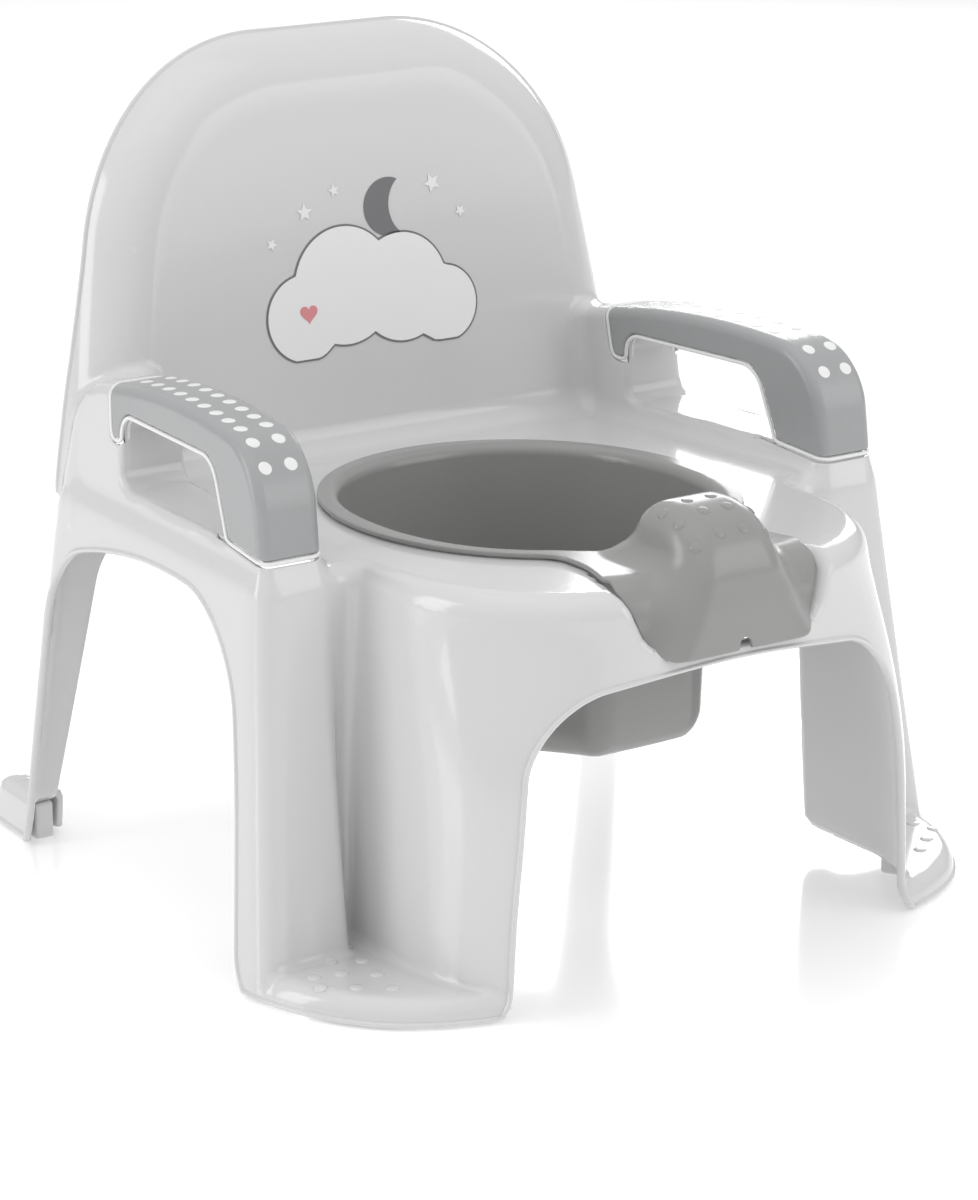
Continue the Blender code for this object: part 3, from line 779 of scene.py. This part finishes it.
def beaded_rim(thickness, reach=BEAD_REACH, proud=BEAD_PROUD):
    """Edge of a wall that rises into a raised bead and rounds over."""
    return [
        (0.0, 0.0),
        (0.12 * reach, -0.2 * proud),
        (0.24 * reach, -0.1 * proud),
        (0.36 * reach, 0.6 * proud),
        (0.48 * reach, 0.95 * proud),
        (0.62 * reach, proud),
        (0.8 * reach, 0.7 * proud),
        (0.94 * reach, -0.1 * proud),
        (reach, -0.45 * thickness),
        (0.94 * reach, -0.8 * thickness),
        (0.75 * reach, -thickness),
        (0.0, -thickness),
    ]


def add_cord_line(mesh, path, radius, slot=0, sides=10):
    """Round bead that follows a closed path."""
    along = unit(smooth_along(np.roll(path, -1, axis=0) - np.roll(path, 1, axis=0), 2))
    side = unit(np.cross(along, (0.31, 0.93, 0.2)))
    other = np.cross(along, side)
    count = len(path)
    turns = []
    quads = []
    here = np.arange(count)
    there = (here + 1) % count
    for k in range(sides):
        angle = math.tau * k / sides
        turns.append(math.cos(angle) * side + math.sin(angle) * other)
        after = (k + 1) % sides
        corners = [here + k * count, here + after * count, there + after * count, there + k * count]
        quads.append(np.stack(corners, axis=1))
    normals = np.concatenate(turns)
    mesh.add(np.tile(path, (sides, 1)) + radius * normals, normals, quads, slot)


def evenly(path, spacing):
    """Points at even distances along a closed path."""
    closed = np.concatenate([path, path[:1]])
    run = np.concatenate([[0.0], np.cumsum(np.linalg.norm(np.diff(closed, axis=0), axis=1))])
    count = max(8, int(run[-1] / spacing))
    places = np.linspace(0.0, run[-1], count, endpoint=False)
    return np.stack([np.interp(places, run, closed[:, axis]) for axis in range(3)], axis=1)


def drop_onto(field, points, rounds=12):
    """Moves points straight down or up onto the field's surface."""
    points = points.copy()
    for _ in range(rounds):
        slope = gradient(field, points)[:, 2]
        slope = np.where(np.abs(slope) < 0.3, 0.3, slope)
        points[:, 2] -= np.clip(field(points) / slope, -4.0, 4.0)
    return points


def add_dome(mesh, field, at, radius, height, slot=0, rings=5, spokes=18):
    """Low round nub that follows the surface under it."""
    normal = unit(gradient(field, at[None], 0.2))[0]
    side = unit(np.cross(normal, (0.0, 1.0, 0.3)))
    other = np.cross(normal, side)
    shares = np.repeat(np.arange(1, rings + 1) / rings, spokes)
    angles = np.tile(math.tau * np.arange(spokes) / spokes, rings)
    out = np.cos(angles)[:, None] * side + np.sin(angles)[:, None] * other
    points = np.concatenate([at[None], at + radius * shares[:, None] * out])
    shares = np.concatenate([[0.0], shares])
    out = np.concatenate([np.zeros((1, 3)), out])
    points = settle(field, points, 5)
    ground = unit(gradient(field, points, 0.2))
    rise = height * np.sqrt(np.maximum(1.0 - shares**2.6, 0.0)) - 0.08
    fall = np.sqrt(np.maximum(1.0 - shares**2.6, 0.04))
    tilt = np.minimum(1.3 * height / radius * shares**1.6 / fall, 3.0)
    spoke = np.arange(spokes)
    after = (spoke + 1) % spokes
    centre = np.stack([np.zeros(spokes, int), 1 + spoke, 1 + after], axis=1)
    quads = []
    for ring in range(rings - 1):
        low = 1 + ring * spokes
        high = low + spokes
        quads.append(np.stack([low + spoke, high + spoke, high + after, low + after], axis=1))
    mesh.add(points + ground * rise[:, None], unit(ground + out * tilt[:, None]), [centre, *quads], slot)


def add_domes(mesh, field, places, size):
    """Domes of one size, dropped onto the surface near these places."""
    for place in drop_onto(field, np.array(places)):
        add_dome(mesh, field, place, *size)


# ---------------------------------------------------------------- materials


def procedural(name, tones, roughness, grain, bump, coat=0.0, coat_roughness=0.06, spread=0.04):
    """Moulded plastic: a slow change of tone, a fine grain in the gloss and a faint orange-peel bump."""
    light, dark = tones
    material = bpy.data.materials.new(name)
    material.use_nodes = True
    nodes = material.node_tree.nodes
    link = material.node_tree.links.new
    shader = nodes["Principled BSDF"]
    shader.inputs["Coat Weight"].default_value = coat
    shader.inputs["Coat Roughness"].default_value = coat_roughness
    place = nodes.new("ShaderNodeTexCoord")
    slow = nodes.new("ShaderNodeTexNoise")
    slow.inputs["Scale"].default_value = 9.0
    slow.inputs["Detail"].default_value = 3.0
    link(place.outputs["Object"], slow.inputs["Vector"])
    tone = nodes.new("ShaderNodeMix")
    tone.data_type = "RGBA"
    tone.inputs[6].default_value = (*dark, 1.0)
    tone.inputs[7].default_value = (*light, 1.0)
    link(slow.outputs["Fac"], tone.inputs[0])
    link(tone.outputs[2], shader.inputs["Base Color"])
    fine = nodes.new("ShaderNodeTexNoise")
    fine.inputs["Scale"].default_value = grain
    fine.inputs["Detail"].default_value = 4.0
    link(place.outputs["Object"], fine.inputs["Vector"])
    gloss = nodes.new("ShaderNodeMapRange")
    gloss.inputs["To Min"].default_value = roughness - spread
    gloss.inputs["To Max"].default_value = roughness + spread
    link(fine.outputs["Fac"], gloss.inputs["Value"])
    link(gloss.outputs["Result"], shader.inputs["Roughness"])
    peel = nodes.new("ShaderNodeBump")
    peel.inputs["Strength"].default_value = bump
    peel.inputs["Distance"].default_value = 0.0004
    link(fine.outputs["Fac"], peel.inputs["Height"])
    link(peel.outputs["Normal"], shader.inputs["Normal"])
    return material


# ---------------------------------------------------------------- pieces


def shell_rim(points):
    """Bead on the free edges. The bowl's hole and the grips' seats have plain edges."""
    middle = points.mean(axis=0)
    inside_edge = (middle[1] < 0.0 and middle[2] > 150.0) or (abs(middle[0]) > 100.0 and middle[2] > 160.0)
    return plain_rim(WALL) if inside_edge else beaded_rim(WALL)


def build_shell(material):
    mesh = Mesh()
    free = [below_floor, side_arch, front_arch, rear_arch, back_open]
    cuts = [moved(cut, BEAD_REACH) for cut in free]
    cuts += [moved(cut, PLAIN_REACH) for cut in (bowl_hole, pad_seat)]
    points, faces = moulded_skin(shell_field, (-196, -188, -12), (196, 190, 372), SHELL_CELL, cuts)
    add_walled(mesh, shell_field, points, faces, WALL, shell_rim)
    for side in (-1, 1):
        places = []
        for row in range(3):
            for column in range(4 - row):
                x = STEP_NUB_START[0] + row * STEP_NUB_ROW[0] + column * STEP_NUB_COLUMN[0]
                y = STEP_NUB_START[1] + row * STEP_NUB_ROW[1] + column * STEP_NUB_COLUMN[1]
                y = min(y, STEP_NUB_START[1] - 0.7 * (x - STEP_NUB_START[0]))
                places.append((side * x, y, STEP_Z + 1.0))
        add_domes(mesh, shell_field, places, STEP_NUB)
        toes = [(side * TOE_NUB_X, y, TOE_Z + 1.0) for y in TOE_NUB_YS]
        add_domes(mesh, shell_field, toes, TOE_NUB)
    return mesh.build("shell_moulding", [material], "chair", "shell", "chair_shell")


def build_bowl(material):
    mesh = Mesh()
    low = (-100, -186, BOWL_BOTTOM_Z - 12)
    cuts = [moved(bowl_cut, PLAIN_REACH)]
    points, faces = moulded_skin(bowl_field, low, (100, 84, 216), BOWL_CELL, cuts)
    add_walled(mesh, bowl_field, points, faces, BOWL_WALL, lambda loop: plain_rim(BOWL_WALL))
    nubs = [(x, y, HUMP_Z) for y in (-137.5, -148.0, -158.5) for x in (-18.0, -6.0, 6.0, 18.0)]
    add_domes(mesh, bowl_field, nubs, GUARD_NUB)
    return mesh.build("bowl_moulding", [material], "bowl", "bowl", "potty_bowl")


def arm_surface(points):
    return arm_field(np.abs(points[:, 0]), points[:, 1], points[:, 2])


def grip_field(points):
    """Soft cover of the arm: a curved plate with rounded edges."""
    skin = arm_surface(points)
    outline = -pad_cut(GRIP_INSET)(points)
    return trim(trim(skin, outline, GRIP_EDGE), -skin - GRIP_THICKNESS, 0.5)


def dot_places(side):
    """Two columns of dots along the middle of the arm, closer together on its nose."""
    places = []
    for row in range(DOT_ROWS):
        y = -51.0 + 10.0 * row + 0.18 * row * (row - 1)
        outer = 157.5 - 0.0777 * (y - SIDE_FRONT_Y)
        inner = ARM_INNER_HALF - 0.0925 * (y - SIDE_FRONT_Y)
        middle = (outer + inner) / 2.0 + 1.0 - 0.0006 * (y + 30.0) ** 2
        for offset in (-DOT_OFFSET, DOT_OFFSET):
            places.append((side * (middle + offset), y, ARM_TOP_Z - 4.0))
    return places


def build_grip(side, word, grey, white):
    low, high = sorted((side * 100.0, side * 180.0))
    cover = Mesh()
    points, quads = skin_mesh(grip_field, (low, -80, 160), (high, 120, 240), GRIP_CELL)
    points = relax(grip_field, points, quads)
    cover.add(points, unit(gradient(grip_field, points, 0.15)), [quads])
    cover.build(f"{word}_grip_cover", [grey], "chair", "pad", f"{word}_arm_pad_cover")

    carrier = Mesh()

    def under(points):
        return arm_surface(points) + CARRIER_DEPTH

    low_corner, high_corner = (low, -80, 160), (high, 120, 240)
    cuts = [pad_cut(0.0)]
    points, faces = moulded_skin(under, low_corner, high_corner, CARRIER_CELL, cuts)
    add_walled(carrier, under, points, faces, CARRIER_WALL, lambda loop: plain_rim(CARRIER_WALL, 0.4))
    points, faces = moulded_skin(arm_surface, low_corner, high_corner, EDGE_LINE_CELL, cuts)
    normals = unit(gradient(arm_surface, points, 0.2))
    for loop in border_loops(faces):
        path = evenly(smooth_along(points[loop] - normals[loop] * 0.45, 3), 1.2)
        add_cord_line(carrier, path, GRIP_RIM)
    add_domes(carrier, arm_surface, dot_places(side), DOT)
    carrier.build(f"{word}_grip_carrier", [white], "chair", "carrier", f"{word}_arm_pad_carrier")


# ---------------------------------------------------------------- print on the backrest


def on_panel(across, z, lift):
    """Point on the leaning panel, this far in front of it."""
    lean = math.atan(PANEL_LEAN)
    y = PANEL_Y + PANEL_LEAN * (z - 175.0)
    return (across, y - lift * math.cos(lean), z + lift * math.sin(lean))


def add_print(name, outline, lift, material, *replaced):
    """Filled flat shape with this outline, given as (across, height) in millimetres."""
    thickness = 0.12
    curve = bpy.data.curves.new(name, "CURVE")
    curve.dimensions = "2D"
    curve.fill_mode = "BOTH"
    curve.extrude = thickness / 2.0 * MM
    spline = curve.splines.new("POLY")
    spline.points.add(len(outline) - 1)
    spline.use_cyclic_u = True
    for point, (across, height) in zip(spline.points, outline):
        point.co = (across * MM, height * MM, 0.0, 1.0)
    curve.materials.append(material)
    obj = bpy.data.objects.new(name, curve)
    lean = math.atan(PANEL_LEAN)
    obj.location = Vector(on_panel(0.0, PRINT_Z, lift)) * MM
    obj.rotation_euler = (math.pi / 2.0 - lean, 0.0, 0.0)
    bpy.context.scene.collection.objects.link(obj)
    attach(obj, "chair")
    if replaced:
        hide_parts(*replaced)
    return obj


def circle_arcs(circles, grow, floor):
    """Outline of overlapping circles (a cloud), flat below. A circle is (across, height, radius)."""
    outline = []
    for step in range(240):
        angle = math.tau * step / 240
        direction = np.array((math.cos(angle), math.sin(angle)))
        reach = 0.0
        for across, height, radius in circles:
            centre = np.array((across, height))
            along = float(centre @ direction)
            aside = float(centre @ (-direction[1], direction[0]))
            if abs(aside) < radius + grow:
                reach = max(reach, along + math.sqrt((radius + grow) ** 2 - aside**2))
        point = direction * reach
        outline.append((float(point[0]), max(float(point[1]), floor - grow)))
    return outline


def star(across, height, radius, turn=0.0, points=5, waist=0.45):
    outline = []
    for step in range(2 * points):
        reach = radius if step % 2 == 0 else radius * waist
        angle = math.pi / 2.0 + turn + math.pi * step / points
        outline.append((across + reach * math.cos(angle), height + reach * math.sin(angle)))
    return outline


def crescent(across, height, radius, bite, steps=28):
    """Moon: an outer arc and an inner arc between the same two tips."""
    start, end = math.radians(65.0), math.radians(295.0)
    outer = [(radius * math.cos(a), radius * math.sin(a)) for a in np.linspace(start, end, steps)]
    tip_x, tip_y = outer[0]
    centre = tip_x + bite
    inner_radius = math.hypot(bite, tip_y)
    low = math.atan2(-tip_y, -bite)
    high = math.atan2(tip_y, -bite)
    angles = np.linspace(low % math.tau, high % math.tau, steps)[1:-1]
    inner = [(centre + inner_radius * math.cos(a), inner_radius * math.sin(a)) for a in angles]
    return [(across + x, height + y) for x, y in outer + inner]


def heart(across, height, size, steps=40):
    outline = []
    for step in range(steps):
        t = math.tau * step / steps
        x = math.sin(t) ** 3
        y = (13.0 * math.cos(t) - 5.0 * math.cos(2 * t) - 2.0 * math.cos(3 * t) - math.cos(4 * t)) / 16.0
        outline.append((across + size * x, height + size * y))
    return outline


def build_print():
    white = procedural("print_white", PRINT_WHITES, 0.35, 900.0, 0.05)
    grey = procedural("print_grey", PRINT_GREYS, 0.38, 900.0, 0.05)
    pink = procedural("print_pink", PRINT_PINKS, 0.38, 900.0, 0.05)
    cloud = [(-34.0, -8.0, 19.0), (-12.0, 4.0, 26.0), (18.0, 0.0, 24.0), (40.0, -10.0, 17.0)]
    add_print("print_cloud_line", circle_arcs(cloud, 0.9, -26.0), 0.25, grey, "back_sticker")
    add_print("print_cloud", circle_arcs(cloud, 0.0, -26.0), 0.45, white)
    add_print("print_moon", crescent(14.0, 36.0, 13.0, 10.0), 0.25, grey)
    add_print("print_heart", heart(-32.0, -6.0, 4.5), 0.62, pink)
    for index, (across, height, radius) in enumerate(
        [(-30.0, 38.0, 4.2), (-14.0, 46.0, 3.0), (38.0, 44.0, 4.6), (52.0, 30.0, 3.0), (-48.0, 26.0, 3.0)]
    ):
        add_print(f"print_star_{index + 1}", star(across, height, radius, 0.2 * index), 0.3, white)


# ---------------------------------------------------------------- floor, light and camera


def area_light(name, at, aim, size, power):
    data = bpy.data.lights.new(name, "AREA")
    data.shape = "RECTANGLE"
    data.size, data.size_y = size
    data.energy = power
    light = bpy.data.objects.new(name, data)
    light.location = at
    light.rotation_euler = (Vector(aim) - Vector(at)).to_track_quat("-Z", "Y").to_euler()
    bpy.context.scene.collection.objects.link(light)
    return light


def build_stage():
    far = FLOOR_HALF
    mesh = bpy.data.meshes.new("floor")
    corners = [(-far, -far, 0.0), (far, -far, 0.0), (far, far, 0.0), (-far, far, 0.0)]
    mesh.from_pydata(corners, [], [(0, 1, 2, 3)])
    floor = bpy.data.objects.new("floor", mesh)
    material = bpy.data.materials.new("floor_white")
    material.use_nodes = True
    shader = material.node_tree.nodes["Principled BSDF"]
    shader.inputs["Base Color"].default_value = (0.85, 0.85, 0.85, 1.0)
    shader.inputs["Roughness"].default_value = 0.12
    shader.inputs["Emission Color"].default_value = (1.0, 1.0, 1.0, 1.0)
    shader.inputs["Emission Strength"].default_value = FLOOR_GLOW
    mesh.materials.append(material)
    bpy.context.scene.collection.objects.link(floor)

    world = bpy.data.worlds.new("studio")
    world.use_nodes = True
    nodes = world.node_tree.nodes
    link = world.node_tree.links.new
    direction = nodes.new("ShaderNodeTexCoord")
    parts = nodes.new("ShaderNodeSeparateXYZ")
    link(direction.outputs["Generated"], parts.inputs["Vector"])
    strength = nodes.new("ShaderNodeMapRange")
    strength.inputs["From Max"].default_value = 0.7
    strength.inputs["To Min"].default_value = SKY_LOW
    strength.inputs["To Max"].default_value = SKY_HIGH
    link(parts.outputs["Z"], strength.inputs["Value"])
    link(strength.outputs["Result"], nodes["Background"].inputs["Strength"])
    nodes["Background"].inputs["Color"].default_value = (1.0, 1.0, 1.0, 1.0)
    bpy.context.scene.world = world
    bpy.context.scene.view_settings.view_transform = "Standard"
    for name, at, size, power in LIGHTS:
        area_light(name, at, (0.0, 0.0, 0.17), size, power)


def build_camera():
    data = bpy.data.cameras.new("camera")
    data.sensor_fit = "VERTICAL"
    data.sensor_height = 36.0
    data.lens = CAMERA_LENS
    data.shift_x = CAMERA_SHIFT_X
    data.clip_end = 60.0
    camera = bpy.data.objects.new("camera", data)
    camera.location = CAMERA_AT
    camera.rotation_euler = (math.pi / 2.0 - CAMERA_ELEVATION, 0.0, CAMERA_AZIMUTH)
    bpy.context.scene.collection.objects.link(camera)
    bpy.context.scene.camera = camera


def main():
    shell = procedural("shell_plastic", SHELL_TONES, 0.17, 420.0, 0.12, 0.5)
    bowl = procedural("bowl_plastic", BOWL_TONES, 0.24, 380.0, 0.12, 0.3, 0.2)
    grip = procedural("grip_rubber", GRIP_TONES, 0.25, 1500.0, 0.25, 0.3, 0.22)
    white = procedural("carrier_white", WHITE_TONES, 0.25, 500.0, 0.08)
    # The feet use the shell's tone, lifted a little as painted light against the shade at the bottoms of
    # the legs.
    rubber = procedural("foot_rubber", FOOT_TONES, 0.4, 1800.0, 0.3)
    build_shell(shell)
    build_bowl(bowl)
    for side, word in ((-1, "left"), (1, "right")):
        build_grip(side, word, grip, white)
        for end in ("front", "rear"):
            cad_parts[f"{word}_{end}_foot"].data.materials.clear()
            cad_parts[f"{word}_{end}_foot"].data.materials.append(rubber)
    build_print()
    build_stage()
    build_camera()


main()
